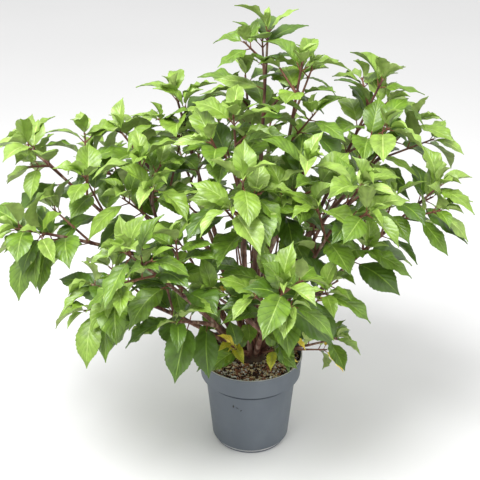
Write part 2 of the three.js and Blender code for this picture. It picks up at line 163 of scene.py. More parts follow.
# The tint of each kind of face, for a leaf of each tint, counted through all the tints above.
# Lateral vein faces take a deeper tint: painted shade in the veins' furrows.
LATERAL_PAINTED_SHADE_TINTS = (1, 2, 3, 4, 4, 2, 5)
MIDRIB_TINTS = (7, 7, 0, 1, 2, 7, 5)
UNDER_TINTS = (1, 8, 8, 8, 8, 5, 6)

# ---------------------------------------------------------------- small helpers

UP = np.array([0.0, 0.0, 1.0])
MASK = 0xFFFFFFFF


def seeded(seed):
    """A stream of numbers from 0 to 1, the same as the one that grows the solids."""
    state = seed & MASK

    def draw():
        nonlocal state
        state = (state + 0x6D2B79F5) & MASK
        value = state
        value = ((value ^ (value >> 15)) * (value | 1)) & MASK
        value ^= (value + (value ^ (value >> 7)) * (value | 61)) & MASK
        return (value ^ (value >> 14)) / 4294967296

    return draw


def between(low, high, share):
    return low * (1 - share) + high * share


def unit(vector):
    return vector / np.linalg.norm(vector, axis=-1, keepdims=True)


def square_to(vector, axis):
    """The part of a vector that is square to a unit axis, at unit length; rows work too."""
    return unit(vector - axis * np.sum(vector * axis, axis=-1, keepdims=True))


def turned(vector, axis, angle):
    """The vector turned round a unit axis."""
    across = np.cross(axis, vector)
    along = axis * np.dot(axis, vector) * (1 - math.cos(angle))
    return vector * math.cos(angle) + across * math.sin(angle) + along


def polar(bearing, reach, height):
    angle = math.radians(bearing)
    return np.array([reach * math.cos(angle), reach * math.sin(angle), height])


def smooth_step(low, high, value):
    share = np.clip((value - low) / (high - low), 0, 1)
    return share * share * (3 - 2 * share)


class Line:
    """A limb's centre line: one quadratic curve in an upright plane."""

    def __init__(self, start, middle, end):
        self.ends = (start, middle, end)
        first, second = np.linalg.norm(middle - start), np.linalg.norm(end - middle)
        self.length = (first + second + np.linalg.norm(end - start)) / 2
        flat = (end - start) * (1, 1, 0)
        upright = np.linalg.norm(flat) <= 1e-6
        self.side = np.array([0.0, 1.0, 0.0]) if upright else unit(np.cross(UP, flat))

    def at(self, t):
        t = np.asarray(t, float)[..., None]
        a, b, c = self.ends
        return (1 - t) ** 2 * a + 2 * t * (1 - t) * b + t * t * c

    def heading(self, t):
        t = np.asarray(t, float)[..., None]
        a, b, c = self.ends
        return unit((b - a) * (1 - t) + (c - b) * t)


def bowed(start, end, bow):
    middle = (start + end) / 2 + UP * bow * np.linalg.norm(end - start)
    return Line(start, middle, end)


def tube_points(line, t, radius, sides):
    """Rings of points round a line: one ring for each t, each with its radius or radii."""
    heading = line.heading(t)
    across = square_to(np.broadcast_to(line.side, heading.shape), heading)
    over = np.cross(heading, across)
    turn = 2 * np.pi * np.arange(sides) / sides
    ring = across[:, None] * np.cos(turn)[:, None] + over[:, None] * np.sin(turn)[:, None]
    radius = np.broadcast_to(np.reshape(radius, (len(t), -1)), (len(t), sides))
    return (line.at(t)[:, None] + ring * radius[..., None]).reshape(-1, 3)


def ring_quads(sides, rings):
    """The four-sided faces between rings of points."""
    first = np.arange(rings - 1)[:, None] * sides + np.arange(sides)
    second = np.arange(rings - 1)[:, None] * sides + (np.arange(sides) + 1) % sides
    return np.stack([first, second, second + sides, first + sides], axis=-1).reshape(-1, 4)


def fan(ring):
    """Triangles that close a ring of points."""
    return np.array([[ring[0], ring[k], ring[k + 1]] for k in range(1, len(ring) - 1)])


# ---------------------------------------------------------------- room between shapes


def solid_tube(line, start, stop, radius_at, sides, steps, extra=0.0):
    """A closed tube as points and triangles, for the room test."""
    t = np.linspace(start, stop, steps + 1)
    points = tube_points(line, t, radius_at(t) + extra, sides)
    quads = ring_quads(sides, steps + 1)
    last = steps * sides + np.arange(sides)
    faces = [quads[:, [0, 1, 2]], quads[:, [0, 2, 3]], fan(np.arange(sides)[::-1]), fan(last)]
    return points, np.concatenate(faces)


BLADE_FACES = np.array([[0, 3, 1], [1, 3, 4], [4, 3, 2], [2, 3, 0], [0, 1, 2], [4, 2, 1]])


def blade_shape(leaf, extra, root=None):
    """A leaf's simple blade: points and triangles, swollen by extra."""
    root = leaf["root"] if root is None else root
    half = LEAF["width"] * leaf["size"] / 2 + extra
    chord = unit(leaf["tip"] - root)
    under = leaf["middle"] - leaf["normal"] * extra
    points = np.array([
        root + chord * (LEAF["proud"] - extra),
        under - leaf["across"] * half,
        under + leaf["across"] * half,
        leaf["middle"] + leaf["normal"] * (LEAF["thick"] + extra),
        leaf["tip"] + chord * extra,
    ])
    return points, BLADE_FACES


def cross_product(a, b):
    x = a[..., 1] * b[..., 2] - a[..., 2] * b[..., 1]
    y = a[..., 2] * b[..., 0] - a[..., 0] * b[..., 2]
    z = a[..., 0] * b[..., 1] - a[..., 1] * b[..., 0]
    return np.stack([x, y, z], axis=-1)


def pierce(edges_of, faces):
    """Whether any edge of each triangle of one set passes through each triangle of the other."""
    start = edges_of[:, None]
    along = np.roll(edges_of, -1, axis=1)[:, None] - start
    corner = faces[None, :, None, 0]
    ab = faces[None, :, None, 1] - corner
    ac = faces[None, :, None, 2] - corner
    h = cross_product(along, ac)
    det = np.sum(ab * h, axis=-1)
    det = np.where(np.abs(det) < 1e-9, np.nan, det)
    ap = start - corner
    k = cross_product(ap, ab)
    u = np.sum(ap * h, axis=-1) / det
    v = np.sum(along * k, axis=-1) / det
    t = np.sum(ac * k, axis=-1) / det
    return bool(((u >= 0) & (v >= 0) & (u + v <= 1) & (t >= 0) & (t <= 1)).any())


class Room:
    """Remembers the triangles of what has grown, each with its owner."""

    def __init__(self):
        self.corners = np.empty((ROOM_SIZE, 3, 3))
        self.owner = np.empty(ROOM_SIZE, int)
        self.used = 0
        self.owners = {}

    def number(self, owner):
        return self.owners.setdefault(owner, len(self.owners))

    def claim(self, shape, owner):
        points, faces = shape
        end = self.used + len(faces)
        self.corners[self.used:end] = points[faces]
        self.owner[self.used:end] = self.number(owner)
        self.used = end

    def free(self, shape, let_through=()):
        """Whether the shape keeps clear of all that is claimed, apart from some owners."""
        points, faces = shape
        taken = self.corners[:self.used]
        near = (taken.min(axis=1) <= points.max(axis=0)).all(axis=1)
        near &= (taken.max(axis=1) >= points.min(axis=0)).all(axis=1)
        for owner in let_through:
            near &= self.owner[:self.used] != self.number(owner)
        others = taken[near]
        if not len(others):
            return True
        own = points[faces]
        return not (pierce(own, others) or pierce(others, own))


# ---------------------------------------------------------------- limbs


def taper(root, tip):
    return lambda t: between(root, tip, t)


def grow_limbs():
    """Each limb with its line, its radius along it, and where its leafy mass begins."""
    limbs = {}

    def add(name, start, end, bow, leafy, radius):
        line = bowed(start, end, bow)
        leafy = min(leafy, MOST_LEAFY * line.length)
        limbs[name] = {
            "name": name, "line": line, "leaves": 1 - leafy / line.length,
            "radius_at": taper(radius, CANE["tip"]),
        }

    for rows, ring, turn in ((INNER_CANES, "inner", 0), (OUTER_CANES, "outer", 40)):
        for i, (name, bearing, reach, height, bow, leafy) in enumerate(rows):
            foot = polar(turn + 360 * i / len(rows), FOOT_RINGS[ring],
                         MIX["top"] + FOOT_RINGS["sunk"])
            add(name, foot, polar(bearing, reach, height), bow, leafy, CANE[ring])
    for name, parent, fork, bearing, reach, height in SIDE_BOUGHS:
        start = limbs[parent]["line"].at(fork)
        add(name, start, polar(bearing, reach, height), SIDE_BOW, SIDE_LEAFY, CANE["side"])
    return list(limbs.values())


def grow_basal():
    """The basal shoots have no cane of their own: the mass starts in the stock's side."""
    shoots = []
    for name, bearing, reach, height in BASAL_SHOOTS:
        start = polar(bearing, BASAL["start"], BASAL["height"])
        shoots.append({
            "name": name, "line": bowed(start, polar(bearing, reach, height), BASAL["bow"]),
            "leaves": 0, "radius_at": taper(BASAL["radius"], CANE["tip"]), "scale": BASAL["scale"],
        })
    return shoots


def pot_room():
    line = Line(polar(0, 0, -1), polar(0, 0, POT["height"] / 2), polar(0, 0, POT["height"] + 1))
    radius = POT["rim"] + POT_ROOM["beyond"]
    return solid_tube(line, 0, 1, lambda t: radius + 0 * t, POT_ROOM["sides"], 1)


# ---------------------------------------------------------------- leafy masses


def pair_sides(line, t, turn):
    across = square_to(line.side, line.heading(t))
    over = np.cross(line.heading(t), across)
    side = across * math.cos(turn) + over * math.sin(turn)
    return [side, -side]


def leaf_at(root, axis, side, size, opening, sag, roll):
    """Where a leaf lies: it opens from its stem, arches, and its tip sags."""
    out = axis * math.cos(opening) + side * math.sin(opening)
    tip = root + out * size - UP * sag * size
    chord = unit(tip - root)
    normal = turned(square_to(UP + axis * 0.5 + side * 0.35, chord), chord, roll)
    middle = root * (1 - LEAF["widest"]) + tip * LEAF["widest"] + normal * LEAF["arch"] * size
    return {"root": root, "tip": tip, "middle": middle, "normal": normal,
            "across": np.cross(chord, normal), "size": size}


def grow_pair(mass, room, line, pair, turn, random, scale=1.0):
    """A pair of leaves: each tries a few turns round its stem until it finds room."""
    back, size, opening, age = pair
    t = 1 - back / line.length
    for i, side in enumerate(pair_sides(line, t, turn)):
        length = size * scale * mass["scale"] * between(*LEAF["longer"], random())
        sag = LEAF["sag"] * between(*LEAF["sagging"], random())
        roll = math.radians(LEAF["roll"]) * between(-1, 1, random())
        swing = math.radians(between(-LEAF["swing"], LEAF["swing"], random()))
        for attempt in range(LEAF["tries"]):
            swung = swing + attempt * (LEAF["try_turn"] if i else -LEAF["try_turn"])
            spread = math.radians(opening + LEAF["try_open"] * attempt)
            leaf = leaf_at(line.at(t), line.heading(t), turned(side, line.heading(t), swung),
                           length, spread, sag, roll)
            past_stalk = leaf["root"] * (1 - LEAF["stalk"]) + leaf["middle"] * LEAF["stalk"]
            if (room.free(blade_shape(leaf, CLEAR), (mass["name"], mass["limb"]["name"]))
                    and room.free(blade_shape(leaf, CLEAR, past_stalk))):
                leaf["age"] = age
                mass["leaves"].append(leaf)
                room.claim(blade_shape(leaf, CLEAR), mass["name"])
                break


def start_mass(limb, seed):
    return {"name": "leaves_" + limb["name"], "limb": limb, "shoots": [], "leaves": [],
            "scale": limb.get("scale", 1), "random": seeded(seed)}


def stem_shape(mass):
    limb = mass["limb"]
    start = limb["leaves"] + GAP / limb["line"].length
    return solid_tube(limb["line"], start, 1, lambda t: limb["radius_at"](t) * TWIG["stem"],
                      TWIG["sides"], TWIG["stem_steps"], CLEAR)


def stem_nodes(mass):
    """The distances back from the tip at which the stem carries leaf pairs and shoots."""
    limb = mass["limb"]
    reach = (1 - limb["leaves"]) * limb["line"].length - STEM_PAIRS["end"]
    nodes = []
    back = STEM_PAIRS["first"]
    while back < reach:
        nodes.append((back, len(nodes) * math.pi / 2 + mass["phase"]))
        back += STEM_PAIRS["spacing"]
    return nodes


def grow_shoot(mass, room, t, side, length, spread):
    """One side shoot, kept only where it has room."""
    line = mass["limb"]["line"]
    out = line.heading(t) * math.cos(spread) + side * math.sin(spread)
    root = line.at(t)
    end = root + out * length * SHOOT["out"] + UP * length * SHOOT["rise"]
    shoot = bowed(root, end, 0)
    radius_at = taper(TWIG["root"], TWIG["tip"])

    def shape(start):
        return solid_tube(shoot, start, 1, radius_at, TWIG["sides"], TWIG["steps"], CLEAR)

    if not (room.free(shape(0), (mass["name"],)) and room.free(shape(SHOOT["clear_of_root"]))):
        return None
    room.claim(shape(0), mass["name"])
    return shoot


def grow_shoots(mass, room):
    """Side shoots: one at each node below the first, on alternate sides, where there is room."""
    random = mass["random"]
    mass["phase"] = random() * math.pi
    line = mass["limb"]["line"]
    for i, (back, turn) in enumerate(stem_nodes(mass)[1:]):
        t = 1 - back / line.length
        side = pair_sides(line, t, turn + math.pi / 2)[i % 2]
        length = SHOOT["length"] * between(*SHOOT["longer"], random())
        spread = math.radians(SHOOT["spread"] * between(*SHOOT["wider"], random()))
        shoot = grow_shoot(mass, room, t, side, length, spread)
        if shoot:
            mass["shoots"].append(shoot)


def grow_rosette(mass, room, line, pairs, scale):
    first = mass["random"]() * math.pi
    for i, pair in enumerate(pairs):
        grow_pair(mass, room, line, pair, first + i * math.pi / 2, mass["random"], scale)
    return first


def grow_leaves(mass, room):
    line = mass["limb"]["line"]
    grow_rosette(mass, room, line, ROSETTE, 1)
    lower = (SHOOT["pair_back"], ROSETTE[2][1], STEM_PAIRS["opening"], STEM_PAIRS["age"])
    for shoot in mass["shoots"]:
        first = grow_rosette(mass, room, shoot, SHOOT_ROSETTE, SHOOT["scale"])
        grow_pair(mass, room, shoot, lower, first + math.pi / 2, mass["random"], SHOOT["scale"])
    for back, turn in stem_nodes(mass):
        pair = (back, STEM_PAIRS["size"], STEM_PAIRS["opening"], STEM_PAIRS["age"])
        grow_pair(mass, room, line, pair, turn, mass["random"])


def grow_buds(mass, room, random):
    """The small leaves inside each rosette."""
    line = mass["limb"]["line"]
    grow_pair(mass, room, line, BUD, random() * math.pi, random)
    for shoot in mass["shoots"]:
        first = random() * math.pi
        grow_pair(mass, room, shoot, SHOOT_BUD, first, random)
        grow_pair(mass, room, shoot, BUD, first + math.pi / 2, random, SHOOT["scale"])


def grow_spurs(mass, room, random):
    """Short twigs opposite the side shoots, with two leaf pairs each."""
    line = mass["limb"]["line"]
    for i, (back, turn) in enumerate(stem_nodes(mass)):
        t = 1 - back / line.length
        side = pair_sides(line, t, turn + math.pi / 2)[(i + 1) % 2]
        length = SPUR["length"] * between(*SHOOT["longer"], random())
        spur = grow_shoot(mass, room, t, side, length, math.radians(SPUR["spread"]))
        if spur:
            mass["shoots"].append(spur)
            grow_rosette(dict(mass, random=random), room, spur, SHOOT_ROSETTE, SPUR["scale"])


def grow_cane_leaves(mass, room, random):
    """The older leaves on the cane below its leafy end."""
    limb = mass["limb"]
    if not limb["leaves"]:
        return
    line = limb["line"]
    back = (1 - limb["leaves"]) * line.length + CANE_LEAVES["first"]
    turn = random() * math.pi
    pair = (CANE_LEAVES["size"], CANE_LEAVES["opening"], len(GREENS) - 1)
    while line.at(1 - back / line.length)[2] > CANE_LEAVES["lowest"]:
        if random() < CANE_LEAVES["share"]:
            grow_pair(mass, room, line, (back, *pair), turn, random)
        back += CANE_LEAVES["spacing"]
        turn += math.pi / 2


def grow_inner_shoots(mass, room, random):
    """Slender shoots from the stock's side that find a way up between the leaves."""
    if mass["limb"]["leaves"]:
        return
    x, y, _ = mass["limb"]["line"].ends[0]
    bearing = math.degrees(math.atan2(y, x))
    own = dict(mass, random=random)
    for _ in range(INNER["tries"]):
        foot = polar(bearing + between(*INNER["fan"], random()), BASAL["start"], BASAL["height"])
        end = polar(bearing + between(*INNER["fan"], random()), between(*INNER["reach"], random()),
                    between(*INNER["height"], random()))
        shoot = bowed(foot, end, INNER["bow"])
        shape = solid_tube(shoot, INNER["clear_of_foot"], 1, taper(TWIG["root"], TWIG["tip"]),
                           TWIG["sides"], INNER["steps"], CLEAR)
        if room.free(shape):
            room.claim(shape, mass["name"])
            mass["shoots"].append(shoot)
            grow_rosette(own, room, shoot, SHOOT_ROSETTE, INNER["scale"])


def grow_shrub():
    room = Room()
    limbs = grow_limbs()
    masses = [start_mass(limb, i + 1) for i, limb in enumerate(limbs + grow_basal())]
    for limb in limbs:
        shape = solid_tube(limb["line"], 0, limb["leaves"], limb["radius_at"], CANE["sides"],
                           CANE["steps"], CLEAR)
        room.claim(shape, limb["name"])
    for mass in masses:
        room.claim(stem_shape(mass), mass["name"])
    room.claim(pot_room(), "pot")
    for mass in masses:
        grow_shoots(mass, room)
    for mass in masses:
        grow_leaves(mass, room)
    print("solids' leaves", sum(len(m["leaves"]) for m in masses),
          "shoots", sum(len(m["shoots"]) for m in masses))
    streams = [seeded(EXTRA_SEED + i) for i in range(len(masses))]
    for grow in (grow_buds, grow_inner_shoots, grow_spurs, grow_cane_leaves):
        for mass, random in zip(masses, streams):
            grow(mass, room, random)
    print("all leaves", sum(len(m["leaves"]) for m in masses))
    return limbs, masses


# ---------------------------------------------------------------- materials


def linear(colour):
    """An sRGB colour, 0 to 255, as linear light with alpha."""
    shares = [c / 255 for c in colour]
    return (*[s / 12.92 if s <= 0.04045 else ((s + 0.055) / 1.055) ** 2.4 for s in shares], 1)


def shade(colour, factor):
    return tuple(min(255, c * factor) for c in colour)


class Material:
    """A Principled material whose colour, roughness and relief come from noise."""

    def __init__(self, name, roughness, specular=0.4):
        self.material = bpy.data.materials.new(name)
        self.material.use_nodes = True
        self.nodes = self.material.node_tree.nodes
        self.links = self.material.node_tree.links
        self.shader = self.nodes["Principled BSDF"]
        self.shader.inputs["Roughness"].default_value = roughness
        self.shader.inputs["Specular IOR Level"].default_value = specular
        self.place = self.nodes.new("ShaderNodeTexCoord").outputs["Object"]
        self.relief = None

    def noise(self, scale, detail=3.0, stretch=(1, 1, 1)):
        place = self.place
        if stretch != (1, 1, 1):
            mapping = self.nodes.new("ShaderNodeMapping")
            mapping.inputs["Scale"].default_value = stretch
            self.links.new(place, mapping.inputs["Vector"])
            place = mapping.outputs["Vector"]
        noise = self.nodes.new("ShaderNodeTexNoise")
        noise.inputs["Scale"].default_value = scale
        noise.inputs["Detail"].default_value = detail
        self.links.new(place, noise.inputs["Vector"])
        return noise.outputs["Fac"]

    def colours(self, factor, stops):
        """The base colour, from a ramp of (place, sRGB colour) over a factor."""
        ramp = self.nodes.new("ShaderNodeValToRGB")
        for i, (place, colour) in enumerate(stops):
            elements = ramp.color_ramp.elements
            element = elements[i] if i < 2 else elements.new(place)
            element.position = place
            element.color = linear(colour)
        self.links.new(factor, ramp.inputs["Fac"])
        self.links.new(ramp.outputs["Color"], self.shader.inputs["Base Color"])
        return self

    def roughness(self, factor, low, high):
        span = self.nodes.new("ShaderNodeMapRange")
        span.inputs["To Min"].default_value = low
        span.inputs["To Max"].default_value = high
        self.links.new(factor, span.inputs["Value"])
        self.links.new(span.outputs["Result"], self.shader.inputs["Roughness"])
        return self

    def bump(self, factor, height, strength=0.6):
        bump = self.nodes.new("ShaderNodeBump")
        bump.inputs["Distance"].default_value = height * MM
        bump.inputs["Strength"].default_value = strength
        self.links.new(factor, bump.inputs["Height"])
        if self.relief:
            self.links.new(self.relief, bump.inputs["Normal"])
        self.relief = bump.outputs["Normal"]
        self.links.new(self.relief, self.shader.inputs["Normal"])
        return self


def leaf_material(name, colour, gloss=0.42):
    """A leaf's tint, mottled a little, with the fine net of veinlets as relief."""
    made = Material(name, gloss, 0.7)
    mottle = made.noise(55, 2)
    made.colours(mottle, [(0.3, shade(colour, 0.88)), (0.7, shade(colour, 1.1))])
    made.roughness(made.noise(140, 2), gloss - 0.06, gloss + 0.1)
    made.bump(made.noise(160, 2), 1.2, 0.5)
    made.bump(made.noise(420, 2), 0.5, 0.35)
    return made.material


def wood_material(name, dark, light, grain, roughness=0.62, painted_highlight=None):
    """Bark: streaks along the limb, pale patches of painted highlight in places when that colour is
    given, and fine relief.
    """
    made = Material(name, roughness, 0.3)
    streaks = made.noise(grain, 5, (1, 1, 0.25))
    made.colours(streaks, [(0.32, dark), (0.52, light), (0.66, painted_highlight or light)])
    made.roughness(made.noise(300, 2), roughness - 0.08, roughness + 0.12)
    made.bump(made.noise(500, 4, (1, 1, 0.3)), 0.8, 0.6)
    return made.material


def plastic_material():
    """Grey moulded plastic: matt, with a fine grain, faint cloudy wear and dusty streaks."""
    made = Material("pot_plastic", 0.5, 0.4)
    clouds = made.noise(9, 6, (1, 1, 0.5))
    made.colours(clouds, [(0.25, (84, 91, 99)), (0.55, (92, 99, 107)), (0.8, (104, 111, 118))])
    made.roughness(made.noise(35, 5), 0.42, 0.62)
    made.bump(made.noise(900, 2), 0.12, 0.4)
    made.bump(made.noise(14, 2), 0.8, 0.15)
    return made.material


def chip_material(name, colour, roughness=0.85):
    made = Material(name, roughness, 0.25)
    made.colours(made.noise(150, 4), [(0.3, shade(colour, 0.7)), (0.7, shade(colour, 1.2))])
    made.bump(made.noise(700, 3), 0.6, 0.6)
    return made.material


# ---------------------------------------------------------------- meshes from arrays


class Heap:
    """Gathers the points and faces of many shapes, in millimetres, into one mesh in metres."""

    def __init__(self):
        self.points = []
        self.faces = {3: [], 4: []}
        self.slots = {3: [], 4: []}
        self.count = 0

    def add(self, points, faces, slot=0):
        """slot is one number for all the faces, or one for each."""
        corners = faces.shape[1]
        self.faces[corners].append(faces + self.count)
        self.slots[corners].append(np.broadcast_to(slot, len(faces)))
        if points is not None:
            self.points.append(points)
            self.count += len(points)

    def add_tube(self, points, sides, slot=0):
        """A tube of rings with both its ends closed."""
        rings = len(points) // sides
        last = (rings - 1) * sides + np.arange(sides)
        self.add(None, fan(np.arange(sides)[::-1]), slot)
        self.add(None, fan(last), slot)
        self.add(points, ring_quads(sides, rings), slot)

    def build(self, name, materials, smooth=True):
        mesh = bpy.data.meshes.new(name)
        points = np.concatenate(self.points) * MM
        mesh.vertices.add(len(points))
        mesh.vertices.foreach_set("co", points.ravel())
        kinds = [k for k in (3, 4) if self.faces[k]]
        faces = {k: np.concatenate(self.faces[k]) for k in kinds}
        sizes = np.concatenate([np.full(len(faces[k]), k) for k in kinds])
        mesh.loops.add(int(sizes.sum()))
        mesh.loops.foreach_set("vertex_index", np.concatenate([faces[k].ravel() for k in kinds]))
        mesh.polygons.add(len(sizes))
        mesh.polygons.foreach_set("loop_start", np.cumsum(sizes) - sizes)
        slots = np.concatenate([np.concatenate(self.slots[k]) for k in kinds])
        for material in materials:
            mesh.materials.append(material)
        mesh.polygons.foreach_set("material_index", slots.astype(np.int32))
        mesh.update(calc_edges=True)
        mesh.polygons.foreach_set("use_smooth", np.full(len(sizes), smooth))
        piece = bpy.data.objects.new(name, mesh)
        bpy.context.scene.collection.objects.link(piece)
        return piece


def dress(piece, nodes):
    """The piece rides on the one body and stands for CAD nodes."""
    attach(piece, "root")
    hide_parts(*nodes)
    return piece


def revolve(outline, segments):
    """Points and faces of an outline of (radius, height) turned once; ends may be on the axis."""
    points = []
    rings = []
    turn = 2 * np.pi * np.arange(segments) / segments
    for radius, height in outline:
        rings.append(len(points) if radius > 1e-6 else -len(points) - 1)
        if radius > 1e-6:
            ring = np.stack([radius * np.cos(turn), radius * np.sin(turn)], axis=-1)
            points.extend(np.column_stack([ring, np.full(segments, height)]))
        else:
            points.append((0.0, 0.0, height))
    quads = []
    triangles = []
    following = (np.arange(segments) + 1) % segments
    here = np.arange(segments)
    for a, b in zip(rings, rings[1:]):
        if a >= 0 and b >= 0:
            quads.append(np.stack([a + here, a + following, b + following, b + here], axis=-1))
        elif a >= 0:
            apex = np.full(segments, -b - 1)
            triangles.append(np.stack([a + here, a + following, apex], axis=-1))
        elif b >= 0:
            apex = np.full(segments, -a - 1)
            triangles.append(np.stack([apex, b + following, b + here], axis=-1))
    return np.array(points), np.concatenate(quads), np.concatenate(triangles)


def rounded(outline, radius, steps=3):
    """The outline with each corner cut to a small arc; its two ends stay."""
    corners = [np.array(corner, float) for corner in outline]
    made = [corners[0]]
    for before, here, after in zip(corners, corners[1:], corners[2:]):
        reach = min(radius, np.linalg.norm(before - here) / 2.2, np.linalg.norm(after - here) / 2.2)
        start, end = here + unit(before - here) * reach, here + unit(after - here) * reach
        for i in range(steps + 1):
            t = i / steps
            made.append((1 - t) ** 2 * start + 2 * t * (1 - t) * here + t * t * end)
    return made + [corners[-1]]


# ---------------------------------------------------------------- leaves


PLAIN, LATERAL, MIDRIB, UNDER = range(4)


def leaf_grid():
    """Rows along the blade: two hold each lateral vein between them, and two lie beyond it.

    Returns each row's place along the midrib, its side of a vein, and how far it bulges."""
    veins = np.linspace(VEINS["first"], VEINS["last"], VEINS["count"])
    beyond = np.append(veins[1:], 1.0)
    rows = [(0.0, 0, 0)]
    for vein, following in zip(veins, beyond):
        rows += [(vein, -1, 0), (vein, 1, 0)]
        rows += [(between(vein, following, share), 0, 1) for share in VEINS["between"]]
    rows.append((1.0, 0, 0))
    return np.array(rows).T


def half_width(v):
    """A leaf's half width along its blade, 1 at the widest: ovate with a drawn-out tip."""
    v = np.clip(v, 0, 1)
    plump = np.sin(np.pi * v ** BLADE["swell"]) ** BLADE["round"]
    pointed = 1 - BLADE["pointed"] * smooth_step(*BLADE["point"], v)
    return np.maximum(plump * pointed, BLADE["least"])


def leaf_arrays(leaves, rng):
    """The leaves' frames and habits as arrays, one row for each leaf."""
    count = len(leaves)
    sets = {key: np.array([leaf[key] for leaf in leaves])
            for key in ("root", "tip", "normal", "across", "size")}
    arch = BLADE["arch"] * rng.uniform(0.6, 1.9, count)
    widest = LEAF["widest"]
    sets["tip"] = between(sets["root"], sets["tip"], BLADE["longer"])
    sets["control"] = (between(sets["root"], sets["tip"], widest)
                       + sets["normal"] * (2 * arch * sets["size"])[:, None])
    ages = np.array([leaf["age"] for leaf in leaves])
    sets["width"] = BLADE["width"] * np.take(SLIM, ages) * rng.uniform(0.92, 1.1, count)
    sets["fold"] = np.tan(np.radians(rng.uniform(8, 34, count) + np.take(FOLD, ages)))
    sets["droop"] = rng.uniform(0.05, 0.3, count)
    sets["twist"] = rng.uniform(-0.5, 0.5, count)
    sets["wave"] = BLADE["wave"] * rng.uniform(0.2, 1.5, count)
    sets["ripples"] = rng.uniform(1.8, 3.8, count)
    sets["phase"] = rng.uniform(0, 2 * np.pi, count)
    return sets


def leaf_points(sets, v, s, lift, tooth):
    """Points of every leaf at grid places v along and s across, raised by lift, of its size."""
    each = {key: sets[key][:, None] for key in sets}
    u = STALK + (1 - STALK) * v[:, None]
    root, control, tip = each["root"], each["control"], each["tip"]
    spine = (1 - u) ** 2 * root + 2 * u * (1 - u) * control + u * u * tip
    heading = unit((1 - u) * (control - root) + u * (tip - control))
    normal = square_to(np.broadcast_to(each["normal"], heading.shape), heading)
    across = np.cross(heading, normal)
    twist = (each["twist"] * (v - 0.3))[..., None]
    across, normal = (across * np.cos(twist) + normal * np.sin(twist),
                      normal * np.cos(twist) - across * np.sin(twist))
    half = half_width(v) * each["size"] * each["width"] / 2
    ripple = np.sin(2 * np.pi * each["ripples"] * v + each["phase"] + np.pi * (s > 0))
    rise = half * (each["fold"] * np.abs(s) - each["droop"] * s * s)
    rise = rise + each["size"] * (lift + each["wave"] * ripple * s * s * half_width(v))
    return spine + across * (half * s * tooth)[..., None] + normal * rise[..., None]


def swept(rows, s):
    """How far along the blade each grid point lies: the rows run forward, as the veins do."""
    place, vein_side, _ = rows
    strip = vein_side[:, None] * VEINS["half"] * (1 - 0.75 * np.abs(s))
    v = place[:, None] + strip
    return 1 - np.maximum(1 - v, 0) ** (1 + BLADE["sweep"] * np.abs(s) ** BLADE["bend"])


def grid_quads(rows, columns, first=0):
    here = first + np.arange(rows - 1)[:, None] * columns + np.arange(columns - 1)
    return np.stack([here, here + 1, here + 1 + columns, here + columns], -1).reshape(-1, 4)


def blade_mesh(sets):
    """Points of the leaves' two layers, the faces of one leaf, and what each face is."""
    rows = leaf_grid()
    count = len(rows[0])
    s = np.array(COLUMNS, float)
    across = np.abs(s)
    bulge = rows[2][:, None] * np.interp(across, (0, 0.35, 0.7, 1), (0.1, 1, 0.9, 0.1))
    lift = BLADE["quilt"] * bulge - BLADE["groove"] * (across < 0.1)
    outward = np.arange(count) % 2 == 1
    tooth = np.where(outward, BLADE["tooth_out"], -BLADE["tooth_in"])[:, None] * (across == 1) + 1
    v = swept(rows, s)
    top = leaf_points(sets, v.ravel(), np.tile(s, count), lift.ravel(), tooth.ravel())
    s_under = np.array(UNDER_COLUMNS, float)
    sunk = -BLADE["under"] - BLADE["rib"] * (s_under == 0)
    thin = half_width(swept(rows, s_under))
    under = leaf_points(sets, swept(rows, s_under).ravel(), np.tile(s_under, count),
                        (sunk * thin).ravel(), np.ones(count * len(s_under)))
    top_quads = grid_quads(count, len(s))
    is_lateral = np.repeat(rows[1][:-1] == -1, len(s) - 1)
    is_midrib = np.tile(np.arange(len(s) - 1) == (len(s) - 1) // 2, count - 1)
    rim = np.arange(count) * len(s)
    inner = count * len(s) + np.arange(count)[:, None] * len(s_under) + np.arange(len(s_under))
    net = np.column_stack([rim, inner, rim + len(s) - 1])
    corners = [net[:-1, :-1], net[1:, :-1], net[1:, 1:], net[:-1, 1:]]
    under_quads = np.stack(corners, -1).reshape(-1, 4)
    faces = np.concatenate([top_quads, under_quads])
    kinds = np.where(is_midrib, MIDRIB, np.where(is_lateral, LATERAL, PLAIN))
    kinds = np.concatenate([kinds, np.full(len(under_quads), UNDER)])
    return np.concatenate([top, under], axis=1), faces, kinds


def deal_tints(leaves, rng):
    """Each leaf's tint: fresh at the tips, deeper down the stem, painted shade low in the crown, some
    yellow at the foot.
    """
    tints = []
    for leaf in leaves:
        x, y, z = leaf["root"]
        at_foot = z < FOOT["top"] and np.hypot(x, y) < FOOT["reach"] and leaf["size"] < FOOT["size"]
        # Away from the palest height tints deepen: below it this is painted shade, above it a deeper
        # tone.
        deeper = PALEST["deeper"] * abs(z - PALEST["height"]) / PALEST["falls"]
        age = leaf["age"] + deeper + rng.normal(0, 0.75)
        tint = int(np.clip(round(age), 0, len(GREENS) - 1))
        turned_tint = len(GREENS) + rng.integers(len(TURNED))
        tints.append(turned_tint if at_foot and rng.random() < FOOT["share"] else tint)
    return np.array(tints)


def mark_rims(mesh, points_in_leaf, columns, rows):
    """The leaves' rims are creases: the two layers are each smooth up to them."""
    ends = np.empty(len(mesh.edges) * 2, np.int32)
    mesh.edges.foreach_get("vertices", ends)
    local = ends.reshape(-1, 2) % points_in_leaf
    at_rim = (local < columns * rows) & np.isin(local % columns, (0, columns - 1))
    same_side = (local[:, 0] % columns) == (local[:, 1] % columns)
    crease = at_rim.all(axis=1) & same_side
    attribute = mesh.attributes.new("sharp_edge", "BOOLEAN", "EDGE")
    attribute.data.foreach_set("value", crease)


